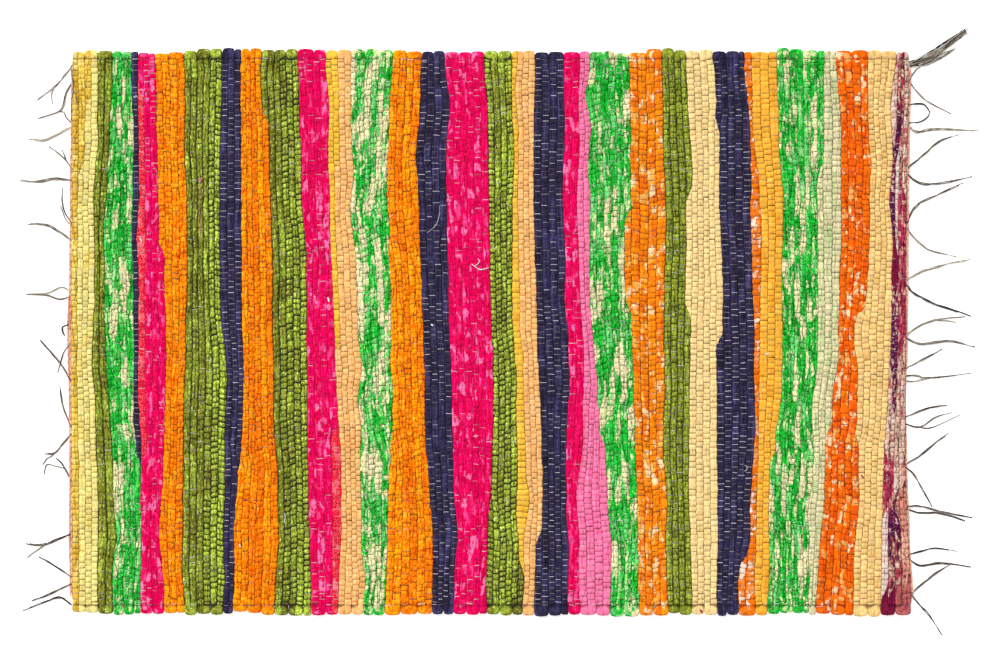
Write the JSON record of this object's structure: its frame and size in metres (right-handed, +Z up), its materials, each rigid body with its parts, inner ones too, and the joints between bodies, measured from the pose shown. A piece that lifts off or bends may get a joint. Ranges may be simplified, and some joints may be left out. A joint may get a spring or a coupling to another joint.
{
  "type": "rag rug",
  "caption": "Flat hand-woven rag rug: thick striped rag picks over thin cotton warps, looped selvedges, narrow cotton headings and loose tufted fringes at the short ends.",
  "frame": {"origin": "middle of the woven field's underside", "axes": "+X along the rug's length, across the stripes; +Y along the stripes; +Z up, out of the walking face"},
  "size_m": [1.0246, 0.6508, 0.007],
  "materials": {
    "rag_cloth": "matte woven cotton rags in many colours",
    "heading_yarn": "matte cotton yarn",
    "warp_thread": "matte twisted cotton thread",
    "rag_orange": "matte cotton rag",
    "rag_green": "matte printed cotton rag",
    "rag_pink": "matte cotton rag",
    "rag_navy": "matte cotton rag",
    "rag_olive": "matte cotton rag",
    "rag_pale": "matte cotton rag",
    "rag_maroon": "matte printed cotton rag"
  },
  "bodies": {
    "root": {"woven_field": "rag_cloth", "heading_left": "heading_yarn", "heading_right": "heading_yarn", "fringe_left": "warp_thread", "fringe_right": "warp_thread"}
  },
  "joints": []
}
